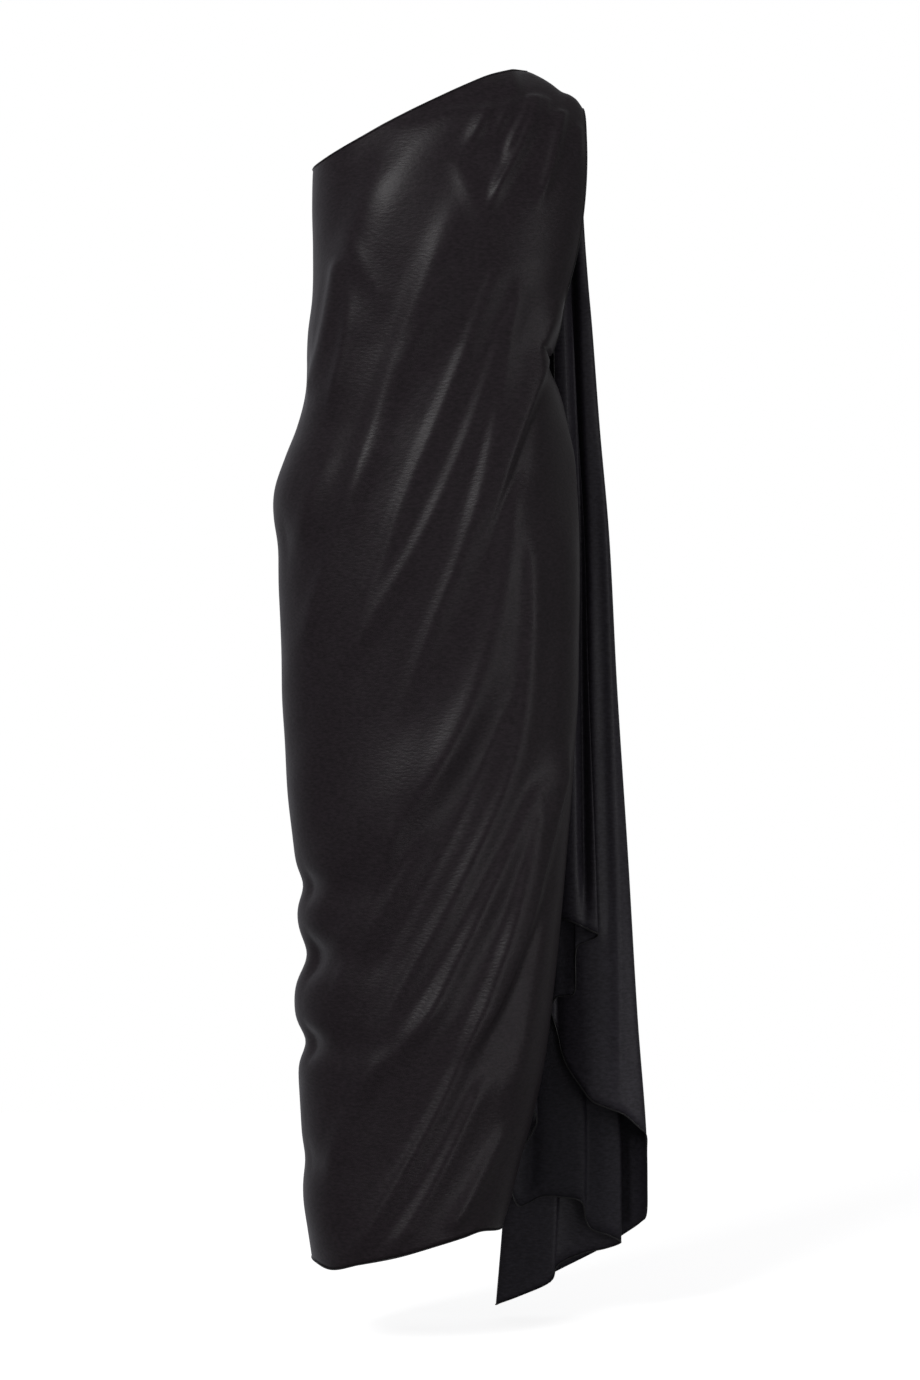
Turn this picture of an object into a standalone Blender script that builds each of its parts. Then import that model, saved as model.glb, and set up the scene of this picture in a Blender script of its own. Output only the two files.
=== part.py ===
"""One-shoulder draped dress: front, back and a spiral side drape.

The cloth keeps the shape it has when worn. The front faces -Y, the wearer's
left is +X, and the origin is on the left shoulder seam, where the dress is held.
Tables are in millimetres; the mesh is in metres.
"""
import math

import bpy
import numpy as np

# Cloth
MM = 0.001
WALL = 1.2
SEAM_GAP = 0.3
BLACK_SATIN = (0.010, 0.009, 0.010, 1.0)
SATIN_ROUGHNESS = 0.36

# Grid sizes: columns run across the cloth, rows run up it
FRONT_COLUMNS = 46
BACK_COLUMNS = 24
PANEL_ROWS = 50
CASCADE_FALL_ROWS = 8
CASCADE_LEVELS = (-290, -200, -140, -95, -60, -32)

# Body sections: height, side seams left and right, depth of front and of back
SECTION_COLUMNS = ("z", "left", "right", "front", "back")
SECTIONS = (
    (30, -240, 31, 12, 10),
    (15, -258, 32, 42, 30),
    (0, -270, 34, 64, 45),
    (-25, -280, 35, 84, 58),
    (-50, -285, 37, 96, 68),
    (-96, -289, 38, 109, 79),
    (-140, -290, 35, 120, 86),
    (-190, -289, 26, 124, 87),
    (-248, -290, 11, 121, 80),
    (-289, -295, -6, 116, 75),
    (-312, -296, -17, 114, 74),
    (-330, -296, -12, 114, 76),
    (-352, -297, -2, 114, 80),
    (-398, -308, 10, 115, 90),
    (-431, -321, 17, 117, 98),
    (-470, -334, 20, 118, 106),
    (-505, -337, 22, 119, 114),
    (-576, -330, 23, 118, 121),
    (-658, -326, 22, 115, 118),
    (-716, -325, 21, 112, 111),
    (-763, -322, 18, 110, 106),
    (-821, -319, 14, 108, 101),
    (-906, -310, 7, 106, 97),
    (-973, -308, 1, 104, 96),
    (-1061, -311, -8, 103, 96),
    (-1155, -306, -21, 102, 97),
    (-1207, -303, -33, 102, 97),
    (-1257, -301, -47, 103, 98),
    (-1301, -300, -58, 104, 99),
    (-1335, -295, -69, 105, 100),
    (-1380, -288, -80, 105, 100),
)
SECTION_POWER = 2.2
SECTION_ROUNDNESS = 0.7
ROWS_CLOSER_AT_TOP = 0.35

# Under the arm the cloth stays round and turns in over a short stretch by the side seam
UNDERARM_COLUMNS = ("z", "right", "turn")
UNDERARM = (
    (-140, 35, 10),
    (-190, 27, 10),
    (-248, 19, 10),
    (-289, 13, 10),
    (-312, 11, 10),
    (-352, 12, 24),
    (-398, 16, 44),
    (-431, 19, 56),
    (-470, 20, 66),
)
ARM_TURN_STARTS = (235.0, 312.0)
ARM_TURN_ENDS = (470.0, 560.0)

# The left side seam is gathered: height, how far it draws in, and half its length
GATHER_COLUMNS = ("z", "draw", "half_length")
SEAM_GATHERS = (
    (-532, 5, 32),
    (-932, 8, 20),
    (-1014, 13, 26),
    (-1114, 11, 20),
    (-1250, 3, 20),
)
GATHER_REACH = 24.0
GATHER_DENT = 0.8

# Armhole edges from the shoulder down to the side seam
ARMHOLE_COLUMNS = ("z", "front", "back")
ARMHOLE = (
    (-24, 27, 27),
    (-36, 29, 29),
    (-60, 30, 25),
    (-95, 30, 16),
    (-137, 27, 1),
    (-201, 18, -14),
    (-248, 6, -23),
    (-289, -8, -21),
    (-312, -17, -17),
)
ARMHOLE_FOOT = -312

# Top edge: neckline from the right side seam, then the left shoulder seam
TOP_COLUMNS = ("x", "z")
TOP_EDGE = (
    (-289, -96),
    (-280, -93),
    (-265, -86),
    (-234, -71),
    (-202, -54),
    (-167, -36),
    (-128, -16),
    (-108, -6),
    (-82, 7),
    (-58, 15),
    (-41, 20),
    (-25, 14),
    (-10, 5),
    (2, -4),
    (12, -8),
    (20, -14),
    (27, -24),
)
SHOULDER_START = -58
SHOULDER_FULL = -40
SHOULDER_ROUND = 70
SHOULDER_CALM = 14

# Bottom edge of the skirt, with its corners lifted
HEM_COLUMNS = ("x", "z")
HEM_EDGE = (
    (-289, -1366),
    (-269, -1371),
    (-232, -1362),
    (-187, -1352),
    (-140, -1339),
    (-113, -1332),
    (-94, -1327),
    (-69, -1331),
)

# Folds: a ridge's height, its half widths beside the line, how it fades at the top
# and the foot, and its line as x and z from the top
FOLD_COLUMNS = ("name", "height", "wide_left", "wide_right", "fade_top", "fade_foot", "line")
FRONT_FOLDS = (
    ("neck_plane", 8, 26, 42, 20, 60,
     ((-101, -27), (-186, -110), (-231, -196), (-251, -304), (-282, -407))),
    ("chest", 2, 22, 16, 20, 60, ((-165, -44), (-203, -87), (-222, -133), (-236, -184))),
    ("bust_middle", 3.2, 12, 22, 30, 60, ((-115, -207), (-133, -247), (-170, -318), (-188, -362))),
    ("bust_right", 2, 11, 14, 30, 40, ((-126, -87), (-110, -127), (-92, -167), (-68, -211))),
    ("side_c", 3.6, 9, 16, 40, 130,
     ((-47, -224), (-66, -344), (-80, -415), (-116, -551), (-149, -633), (-199, -773))),
    ("drape_edge", 7, 24, 6, 50, 120, ((4, -236), (-24, -336), (-53, -419), (-79, -496), (-101, -567))),
    ("hip", 5.4, 16, 18, 50, 140,
     ((-52, -444), (-58, -522), (-80, -647), (-96, -699), (-140, -796), (-181, -887))),
    ("hip_right", 5.4, 10, 16, 60, 110,
     ((-37, -504), (-36, -647), (-52, -779), (-123, -939), (-184, -1047), (-240, -1156))),
    ("thigh_left", 5, 14, 14, 60, 50,
     ((-183, -830), (-197, -887), (-214, -928), (-253, -1001), (-269, -1033))),
    ("knee_a", 6, 11, 14, 40, 90,
     ((-19, -796), (-54, -877), (-93, -960), (-128, -1029), (-164, -1093), (-211, -1152))),
    ("knee_b", 5.4, 8, 13, 40, 40,
     ((-21, -824), (-62, -990), (-92, -1070), (-138, -1175), (-180, -1253), (-247, -1363))),
    ("wrap_edge", 7, 22, 6, 60, 70, ((18, -750), (-5, -838), (-43, -979), (-69, -1049), (-115, -1139))),
    ("shin_a", 5, 9, 13, 50, 30,
     ((-80, -1129), (-112, -1201), (-131, -1239), (-151, -1276), (-204, -1358))),
    ("shoulder_a", 5.6, 7, 9, 12, 50, ((-28, -12), (-34, -44), (-46, -76), (-74, -133), (-88, -170))),
    ("shoulder_b", 3.4, 5, 5, 10, 40, ((-36, -14), (-46, -47), (-59, -78), (-68, -110))),
    ("shoulder_c", 4, 7, 7, 12, 40, ((-56, -19), (-68, -51), (-83, -82))),
    ("shoulder_d", 4.6, 9, 9, 20, 40, ((-80, -24), (-96, -64), (-115, -99))),
    ("shoulder_e", 5.5, 7, 7, 10, 50, ((1, -30), (-4, -59), (-20, -127), (-30, -162))),
    ("shoulder_f", 2.2, 4, 4, 8, 30, ((-16, -16), (-19, -39), (-23, -64))),
    ("shoulder_g", 2.2, 5, 6, 12, 40, ((20, -44), (21, -76), (18, -116))),
    ("left_edge", 4, 8, 12, 20, 30, ((-254, -202), (-261, -247), (-286, -344), (-298, -375))),
    ("hip_left", 2.5, 12, 14, 40, 60, ((-256, -419), (-279, -464), (-296, -510), (-308, -556))),
    ("bust_left", 6.5, 16, 20, 190, 100,
     ((-101, -96), (-142, -202), (-183, -310), (-223, -430), (-268, -533))),
    ("side_a", 3.2, 9, 16, 40, 90,
     ((-71, -207), (-96, -279), (-130, -364), (-186, -501), (-219, -599), (-260, -693))),
    ("side_b", 3.2, 9, 14, 40, 90,
     ((-56, -253), (-80, -333), (-110, -419), (-170, -547), (-219, -627), (-271, -716))),
    ("left_vee", 1.8, 12, 10, 60, 60, ((-256, -158), (-240, -190), (-203, -261), (-195, -293))),
    ("left_rib", 3.6, 8, 10, 60, 60, ((-240, -230), (-240, -270), (-256, -356), (-271, -402))),
    ("thigh", 6, 12, 22, 90, 60, ((-134, -847), (-183, -924), (-222, -988), (-240, -1015), (-263, -1077))),
    ("shin_b", 4.5, 9, 10, 40, 20, ((-62, -1196), (-77, -1230), (-111, -1296), (-131, -1328))),
    ("knee_broad", 6, 15, 17, 70, 60,
     ((-16, -921), (-23, -973), (-35, -1041), (-58, -1156), (-71, -1196))),
    ("shin_left", 3.5, 12, 12, 50, 30, ((-195, -1104), (-218, -1141), (-260, -1230), (-268, -1276))),
    ("belly_left", 3.5, 12, 14, 60, 60, ((-218, -419), (-240, -487), (-286, -615), (-300, -670))),
    ("thigh_hollow", -5, 28, 12, 90, 90,
     ((-51, -676), (-94, -790), (-126, -864), (-165, -933), (-231, -1059))),
    ("thigh_wide", 10.5, 50, 26, 180, 120,
     ((-80, -647), (-123, -756), (-157, -805), (-188, -853), (-254, -944))),
    ("shin_wide", 5, 26, 18, 90, 60, ((-106, -1013), (-140, -1059), (-218, -1144), (-248, -1184))),
)
BACK_FOLDS = (
    ("yoke", 6, 12, 12, 16, 60, ((-20, -14), (-60, -90), (-120, -190))),
    ("blade", 6, 11, 11, 20, 60, ((-60, -18), (-120, -90), (-200, -170))),
    ("waist_a", 7, 14, 14, 60, 100, ((-30, -290), (-90, -420), (-190, -560))),
    ("waist_b", 7, 14, 14, 60, 100, ((-70, -230), (-140, -340), (-240, -470))),
    ("seat", 7, 18, 18, 70, 120, ((-40, -520), (-80, -680), (-170, -860))),
    ("back_thigh", 7, 18, 18, 80, 120, ((-30, -760), (-90, -930), (-200, -1120))),
    ("back_knee", 7, 18, 18, 80, 120, ((-60, -960), (-120, -1120), (-210, -1300))),
)
SEAM_FADE = 0.035
LEAN_STEP = 4.0

# Side drape: right edge line, how far the layers have spread, and clearance
DRAPE_COLUMNS = ("z", "right", "rear")
DRAPE_LINE = (
    (20, 12, 4),
    (0, 17, 14),
    (-25, 22, 30),
    (-50, 24, 44),
    (-80, 27, 54),
    (-142, 30, 62),
    (-210, 35, 66),
    (-270, 40, 66),
    (-400, 50, 66),
    (-500, 59, 66),
    (-700, 70, 66),
    (-900, 83, 66),
    (-1100, 95, 66),
    (-1250, 106, 66),
    (-1340, 108, 66),
    (-1460, 108, 66),
)
SPREAD_TOP = 0.25
SPREAD_POWER = 0.85
DRAPE_LENGTH = 1450
DRAPE_CLEAR = 1.4
DRAPE_STANDOFF = 8.0
STANDOFF_HEIGHTS = (60.0, 200.0)
DRAPE_SEAM_DROP = 6
DRAPE_SEAM_HEIGHT = -12.0
DRAPE_BLEND = 6.0

# Bottom edge of the drape, followed from its front end: depth is how far
# behind the front layer the cloth lies when fully spread
CASCADE_COLUMNS = ("x", "z", "depth")
CASCADE_EDGE = (
    (3, -975, 6),
    (13, -978, 0),
    (27, -984, -2),
    (39, -990, 1),
    (47, -994, 6),
    (43, -999, 12),
    (32, -1004, 14),
    (21, -1014, 16),
    (20, -1062, 19),
    (9, -1068, 24),
    (-3, -1071, 27),
    (-8, -1086, 35),
    (-5, -1099, 45),
    (0, -1116, 47),
    (4, -1135, 44),
    (11, -1154, 39),
    (25, -1175, 33),
    (40, -1194, 29),
    (59, -1203, 29),
    (79, -1211, 31),
    (97, -1227, 36),
    (106, -1237, 44),
    (107, -1259, 55),
    (108, -1297, 68),
    (108, -1336, 82),
    (101, -1348, 93),
    (83, -1362, 101),
    (52, -1382, 104),
    (3, -1407, 104),
    (-44, -1431, 101),
    (-68, -1446, 94),
    (-72, -1446, 84),
    (-44, -1435, 80),
    (-8, -1418, 78),
    (1, -1399, 83),
    (27, -1386, 86),
    (57, -1379, 84),
    (75, -1372, 78),
    (75, -1367, 70),
    (59, -1359, 67),
    (43, -1354, 68),
    (35, -1343, 67),
    (29, -1319, 59),
    (5, -1313, 57),
    (-18, -1312, 58),
    (-34, -1320, 62),
    (-48, -1323, 60),
    (-56, -1291, 50),
    (-47, -1260, 40),
    (-32, -1235, 30),
    (-25, -1217, 20),
    (-31, -1201, 12),
    (-43, -1190, 10),
)


def column(table, names, name):
    """One named column of a table as numbers."""
    return np.array([row[names.index(name)] for row in table], dtype=float)


def smooth_read(places, values, at):
    """Read a curve through the given values, smooth between them."""
    order = np.argsort(places)
    x = np.asarray(places, dtype=float)[order]
    y = np.asarray(values, dtype=float)[order]
    at = np.clip(np.asarray(at, dtype=float), x[0], x[-1])
    slope = np.gradient(y, x) if len(x) > 2 else np.full(len(x), (y[-1] - y[0]) / (x[-1] - x[0]))
    i = np.clip(np.searchsorted(x, at) - 1, 0, len(x) - 2)
    span = x[i + 1] - x[i]
    t = (at - x[i]) / span
    part_a = (2 * t**3 - 3 * t**2 + 1) * y[i] + (t**3 - 2 * t**2 + t) * span * slope[i]
    part_b = (3 * t**2 - 2 * t**3) * y[i + 1] + (t**3 - t**2) * span * slope[i + 1]
    return part_a + part_b


def ease(value, low, high):
    """Smooth step from 0 at low to 1 at high."""
    t = np.clip((np.asarray(value, dtype=float) - low) / (high - low), 0.0, 1.0)
    return t * t * (3.0 - 2.0 * t)


def section(name, z):
    """Read one column of the body sections at height z."""
    return smooth_read(column(SECTIONS, SECTION_COLUMNS, "z"), column(SECTIONS, SECTION_COLUMNS, name), z)


def drawn_in(z):
    """How far the gathers draw in the left side seam at height z."""
    return sum(draw * np.exp(-(((z - at) / half_length) ** 2)) for at, draw, half_length in SEAM_GATHERS)


def left_seam(z):
    return section("left", z) + drawn_in(z)


def under_arm(name, z):
    """Read one column of the underarm table at height z."""
    return smooth_read(column(UNDERARM, UNDERARM_COLUMNS, "z"), column(UNDERARM, UNDERARM_COLUMNS, name), z)


def ring_depth(x, z, side):
    """Distance from the side-seam plane to the cloth of one side."""
    left = left_seam(z)
    by_arm = (z < UNDERARM[0][0]) & (z > UNDERARM[-1][0])
    right = np.where(by_arm, under_arm("right", z), section("right", z))
    u = np.clip((2.0 * x - left - right) / (right - left), -1.0, 1.0)
    round_part = np.maximum(1.0 - np.abs(u) ** SECTION_POWER, 0.0) ** (1.0 / SECTION_POWER)
    inward = np.clip((right_edge(z, side) - x) / under_arm("turn", z), 0.0, 1.0)
    turn = np.sqrt(1.0 - (1.0 - inward) ** 2)
    held = ease(-z, *ARM_TURN_STARTS) * (1.0 - ease(-z, *ARM_TURN_ENDS))
    return section(side, z) * round_part * (1.0 - held * (1.0 - turn))


def top_edge(x):
    return smooth_read(column(TOP_EDGE, TOP_COLUMNS, "x"), column(TOP_EDGE, TOP_COLUMNS, "z"), x)


def hem_edge(x):
    return smooth_read(column(HEM_EDGE, HEM_COLUMNS, "x"), column(HEM_EDGE, HEM_COLUMNS, "z"), x)


def right_edge(z, side):
    """Right edge of a panel: the armhole above, the side seam below."""
    seam = section("right", z)
    armhole = smooth_read(column(ARMHOLE, ARMHOLE_COLUMNS, "z"), column(ARMHOLE, ARMHOLE_COLUMNS, side), z)
    return np.where(z > ARMHOLE_FOOT, armhole, seam)


def even_columns(count):
    """Places across a section, -1 to 1, spaced evenly along the cloth."""
    angle = np.linspace(0.0, math.pi, 721)
    across = -np.cos(angle)
    deep = np.maximum(1.0 - np.abs(across) ** SECTION_POWER, 0.0) ** (1.0 / SECTION_POWER)
    steps = np.hypot(np.diff(across), SECTION_ROUNDNESS * np.diff(deep))
    length = np.concatenate([[0.0], np.cumsum(steps)])
    return np.interp(np.linspace(0.0, length[-1], count + 1), length, across)


def fold_height(x, z, folds):
    """Height of all folds of a panel at points x, z."""
    total = np.zeros_like(x)
    for row in folds:
        fold = dict(zip(FOLD_COLUMNS, row))
        line_x = [point[0] for point in fold["line"]]
        line_z = [point[1] for point in fold["line"]]
        centre = smooth_read(line_z, line_x, z)
        above = smooth_read(line_z, line_x, z + LEAN_STEP)
        below = smooth_read(line_z, line_x, z - LEAN_STEP)
        lean = (above - below) / (2.0 * LEAN_STEP)
        off = (x - centre) / np.sqrt(1.0 + lean**2)
        wide = np.where(off < 0.0, fold["wide_left"], fold["wide_right"])
        ends = ease(line_z[0] - z, 0.0, fold["fade_top"]) * ease(z - line_z[-1], 0.0, fold["fade_foot"])
        total += fold["height"] * np.exp(-((off / wide) ** 2)) * ends
    return total


def grid_normals(points):
    """Unit normals of a grid, from its rows and columns."""
    along = np.gradient(points, axis=1)
    up = np.gradient(points, axis=0)
    normal = np.cross(along, up)
    return normal / np.maximum(np.linalg.norm(normal, axis=2, keepdims=True), 1e-9)


def panel_grid(side, columns, rows, folds):
    """Points and outward normals of the front or the back panel."""
    sign = -1.0 if side == "front" else 1.0
    share = (1.0 + even_columns(columns)) / 2.0
    step = np.linspace(0.0, 1.0, rows + 1)
    rise = step + ROWS_CLOSER_AT_TOP * step * (1.0 - step)
    hem_x = HEM_EDGE[0][0] + (HEM_EDGE[-1][0] - HEM_EDGE[0][0]) * share
    top_x = TOP_EDGE[0][0] + (TOP_EDGE[-1][0] - TOP_EDGE[0][0]) * share
    foot = hem_edge(hem_x)
    crown = top_edge(top_x)
    z = foot[None, :] + (crown - foot)[None, :] * rise[:, None]
    left = left_seam(z[:, 0])[:, None]
    right = right_edge(z[:, -1], side)[:, None]
    x = left + (right - left) * share[None, :]
    drop = crown[None, :] - z
    depth = ring_depth(x, z, side)
    over = np.sqrt(1.0 - (1.0 - np.clip(drop / SHOULDER_ROUND, 0.0, 1.0)) ** 2)
    at_shoulder = ease(top_x, SHOULDER_START, SHOULDER_FULL)[None, :]
    depth = depth * (1.0 - at_shoulder * (1.0 - over))
    points = np.stack([x, sign * depth, z], axis=2)
    normals = grid_normals(points) * (1.0 if side == "front" else -1.0)
    seam = ease(share, 0.0, SEAM_FADE)[None, :] * np.where(
        z[:, -1:] > ARMHOLE_FOOT, 1.0, ease(1.0 - share, 0.0, SEAM_FADE)[None, :])
    seam = seam * (1.0 - at_shoulder * (1.0 - ease(drop, 0.0, SHOULDER_CALM)))
    dents = GATHER_DENT * drawn_in(z) * np.exp(-(((x - left) / GATHER_REACH) ** 2))
    points = points + normals * ((fold_height(x, z, folds) - dents) * seam)[:, :, None]
    points[:, :, 1] = sign * np.maximum(sign * points[:, :, 1], 0.0) + sign * SEAM_GAP / 2.0
    normals = grid_normals(points) * (1.0 if side == "front" else -1.0)
    flatten_at_seams(normals, z, at_shoulder[0])
    return points, normals


def flatten_at_seams(normals, z, at_shoulder):
    """Keep the wall square to the seam plane where two panels meet."""
    normals[:, 0, 1] = 0.0
    side_rows = z[:, -1] <= ARMHOLE_FOOT
    normals[side_rows, -1, 1] = 0.0
    normals[-1, at_shoulder > 0.5, 1] = 0.0
    normals /= np.maximum(np.linalg.norm(normals, axis=2, keepdims=True), 1e-9)


def drape_read(name, z):
    return smooth_read(column(DRAPE_LINE, DRAPE_COLUMNS, "z"), column(DRAPE_LINE, DRAPE_COLUMNS, name), z)


def drape_spread(z):
    """How far the layers of the drape have spread at height z."""
    return SPREAD_TOP + (1.0 - SPREAD_TOP) * np.clip(-z / DRAPE_LENGTH, 0.0, 1.1) ** SPREAD_POWER


def drape_front(x, z):
    """Front face of the drape, kept clear behind the back panel."""
    hung = drape_read("rear", z)
    near = np.minimum(x, right_edge(z, "back"))
    drop = np.maximum(top_edge(np.clip(x, TOP_EDGE[0][0], TOP_EDGE[-1][0])) - z, 0.0)
    over = np.sqrt(1.0 - (1.0 - np.clip(drop / SHOULDER_ROUND, 0.0, 1.0)) ** 2)
    clear = DRAPE_CLEAR + WALL + DRAPE_STANDOFF * ease(-z, *STANDOFF_HEIGHTS)
    body = ring_depth(near, z, "back") * over + clear
    return 0.5 * (hung + body + np.sqrt((hung - body) ** 2 + DRAPE_BLEND**2))


def cascade_grid():
    """Points and normals of the drape: every column falls from the shoulder seam."""
    edge_x = column(CASCADE_EDGE, CASCADE_COLUMNS, "x")
    edge_z = column(CASCADE_EDGE, CASCADE_COLUMNS, "z")
    edge_depth = column(CASCADE_EDGE, CASCADE_COLUMNS, "depth")
    across = (drape_read("right", edge_z) - edge_x) / drape_spread(edge_z)
    seam_right = drape_read("right", np.full_like(across, DRAPE_SEAM_HEIGHT))
    top_x = seam_right - drape_spread(DRAPE_SEAM_HEIGHT) * across
    top_z = top_edge(top_x) - DRAPE_SEAM_DROP
    fall = np.linspace(0.0, 1.0, CASCADE_FALL_ROWS, endpoint=False)
    rows = [edge_z + (CASCADE_LEVELS[0] - edge_z) * part for part in fall]
    rows += [np.full_like(edge_z, level) for level in CASCADE_LEVELS]
    z = np.stack(rows + [top_z])
    spread = drape_spread(z)
    x = drape_read("right", z) - spread * across[None, :]
    y = drape_front(x, z) + spread * edge_depth[None, :]
    points = np.stack([x, y, z], axis=2)
    return points, grid_normals(points)


def sheet_mesh(name, points, normals, outside, inside, flip):
    """Closed sheet of cloth: an outer and an inner grid joined along the rim."""
    rows, columns = points.shape[:2]
    outer = (points + normals * outside) * MM
    inner = (points - normals * inside) * MM
    vertices = np.concatenate([outer.reshape(-1, 3), inner.reshape(-1, 3)])
    second = rows * columns
    faces = []
    for r in range(rows - 1):
        for c in range(columns - 1):
            a = r * columns + c
            b = a + 1
            d = a + columns
            e = d + 1
            faces.append((a, b, e, d))
            faces.append((second + a, second + d, second + e, second + b))
    rim = [c for c in range(columns)]
    rim += [r * columns + columns - 1 for r in range(1, rows)]
    rim += [(rows - 1) * columns + c for c in range(columns - 2, -1, -1)]
    rim += [r * columns for r in range(rows - 2, 0, -1)]
    for a, b in zip(rim, rim[1:] + rim[:1]):
        faces.append((b, a, second + a, second + b))
    if flip:
        faces = [tuple(reversed(face)) for face in faces]
    mesh = bpy.data.meshes.new(name)
    mesh.from_pydata([tuple(v) for v in vertices], [], faces)
    mesh.validate()
    for polygon in mesh.polygons:
        polygon.use_smooth = True
    mesh.update()
    return mesh


def satin(name):
    """Black satin for one piece of cloth."""
    material = bpy.data.materials.new(name)
    material.use_nodes = True
    shader = material.node_tree.nodes["Principled BSDF"]
    shader.inputs["Base Color"].default_value = BLACK_SATIN
    shader.inputs["Roughness"].default_value = SATIN_ROUGHNESS
    material.diffuse_color = BLACK_SATIN
    return material


def add_piece(name, mesh):
    piece = bpy.data.objects.new(name, mesh)
    bpy.context.scene.collection.objects.link(piece)
    mesh.materials.append(satin(name + "_satin"))
    return piece


def build():
    for old in list(bpy.data.objects):
        bpy.data.objects.remove(old, do_unlink=True)
    points, normals = panel_grid("front", FRONT_COLUMNS, PANEL_ROWS, FRONT_FOLDS)
    add_piece("front", sheet_mesh("front", points, normals, 0.0, WALL, False))
    points, normals = panel_grid("back", BACK_COLUMNS, PANEL_ROWS, BACK_FOLDS)
    add_piece("back", sheet_mesh("back", points, normals, 0.0, WALL, True))
    points, normals = cascade_grid()
    add_piece("cascade", sheet_mesh("cascade", points, normals, WALL / 2.0, WALL / 2.0, False))


build()
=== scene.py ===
"""Looks of the one-shoulder draped dress: satin shells, hems, light and camera.

Tables are in millimetres, in the same frame as the solids; the mesh is in metres.
"""
import math

import bmesh
import bpy
import numpy as np
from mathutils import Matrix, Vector


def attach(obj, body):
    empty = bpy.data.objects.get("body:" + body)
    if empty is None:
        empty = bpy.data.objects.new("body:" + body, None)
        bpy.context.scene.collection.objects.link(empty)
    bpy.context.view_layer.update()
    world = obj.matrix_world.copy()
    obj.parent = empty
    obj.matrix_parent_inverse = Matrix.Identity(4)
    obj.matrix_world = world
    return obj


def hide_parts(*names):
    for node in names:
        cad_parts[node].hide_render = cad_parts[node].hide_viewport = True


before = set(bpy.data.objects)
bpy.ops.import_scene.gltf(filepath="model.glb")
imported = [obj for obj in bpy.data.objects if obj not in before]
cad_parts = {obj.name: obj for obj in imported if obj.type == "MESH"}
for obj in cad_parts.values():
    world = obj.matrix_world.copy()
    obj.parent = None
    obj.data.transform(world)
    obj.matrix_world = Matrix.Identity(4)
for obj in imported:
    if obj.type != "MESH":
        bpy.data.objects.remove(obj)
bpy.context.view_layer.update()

# Thickness of the drawn cloth and radius of its rolled hems
MM = 0.001
CLOTH = 0.45
HEM_RADIUS = 0.9

# How finely the cloth is drawn
FRONT_COLUMNS = 168
FRONT_ROWS = 284
BACK_COLUMNS = 120
BACK_ROWS = 240
CASCADE_STEPS = 6
CASCADE_LEVEL_STEPS = 9

# The drape's rows: so many from its bottom edge up to the first level, then these levels
CASCADE_FALL_ROWS = 8
CASCADE_LEVELS = (-290, -200, -140, -95, -60, -32)

# Body sections: height, side seams left and right, depth of front and of back
SECTION_COLUMNS = ("z", "left", "right", "front", "back")
SECTIONS = (
    (30, -240, 31, 12, 10),
    (15, -258, 32, 42, 30),
    (0, -270, 34, 64, 45),
    (-25, -280, 35, 84, 58),
    (-50, -285, 37, 96, 68),
    (-96, -289, 38, 109, 79),
    (-140, -290, 35, 120, 86),
    (-190, -289, 26, 124, 87),
    (-248, -290, 11, 121, 80),
    (-289, -295, -6, 116, 75),
    (-312, -296, -17, 114, 74),
    (-330, -296, -12, 114, 76),
    (-352, -297, -2, 114, 80),
    (-398, -308, 10, 115, 90),
    (-431, -321, 17, 117, 98),
    (-470, -334, 20, 118, 106),
    (-505, -337, 22, 119, 114),
    (-576, -330, 23, 118, 121),
    (-658, -326, 22, 115, 118),
    (-716, -325, 21, 112, 111),
    (-763, -322, 18, 110, 106),
    (-821, -319, 14, 108, 101),
    (-906, -310, 7, 106, 97),
    (-973, -308, 1, 104, 96),
    (-1061, -311, -8, 103, 96),
    (-1155, -306, -21, 102, 97),
    (-1207, -303, -33, 102, 97),
    (-1257, -301, -47, 103, 98),
    (-1301, -300, -58, 104, 99),
    (-1335, -295, -69, 105, 100),
    (-1380, -288, -80, 105, 100),
)
# A section is a superellipse of this power; columns are spaced along one of this depth
SECTION_POWER = 2.2
SECTION_ROUNDNESS = 0.7
ARC_SAMPLES = 720
ROWS_CLOSER_AT_TOP = 0.35

# Under the arm the cloth stays round and turns in over a short stretch by the side seam
UNDERARM_COLUMNS = ("z", "right", "turn")
UNDERARM = (
    (-140, 35, 10),
    (-190, 27, 10),
    (-248, 19, 10),
    (-289, 13, 10),
    (-312, 11, 10),
    (-352, 12, 24),
    (-398, 16, 44),
    (-431, 19, 56),
    (-470, 20, 66),
)
# Depths below the shoulder where the turn comes in and where it is gone again
ARM_TURN_STARTS = (235.0, 312.0)
ARM_TURN_ENDS = (470.0, 560.0)

# The left side seam is gathered: height, how far it draws in, and half its length
GATHER_COLUMNS = ("z", "draw", "half_length")
SEAM_GATHERS = (
    (-532, 5, 32),
    (-932, 8, 20),
    (-1014, 13, 26),
    (-1114, 11, 20),
    (-1250, 3, 20),
)
# How far from the seam a gather dents the cloth, and how deep as a share of its draw
GATHER_REACH = 24.0
GATHER_DENT = 0.8

# Armhole edges from the shoulder down to the side seam
ARMHOLE_COLUMNS = ("z", "front", "back")
ARMHOLE = (
    (-24, 27, 27),
    (-36, 29, 29),
    (-60, 30, 25),
    (-95, 30, 16),
    (-137, 27, 1),
    (-201, 18, -14),
    (-248, 6, -23),
    (-289, -8, -21),
    (-312, -17, -17),
)
ARMHOLE_FOOT = -312

# Top edge: neckline from the right side seam, then the left shoulder seam
TOP_COLUMNS = ("x", "z")
TOP_EDGE = (
    (-289, -96),
    (-280, -93),
    (-265, -86),
    (-234, -71),
    (-202, -54),
    (-167, -36),
    (-128, -16),
    (-108, -6),
    (-82, 7),
    (-58, 15),
    (-41, 20),
    (-25, 14),
    (-10, 5),
    (2, -4),
    (12, -8),
    (20, -14),
    (27, -24),
)
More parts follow.
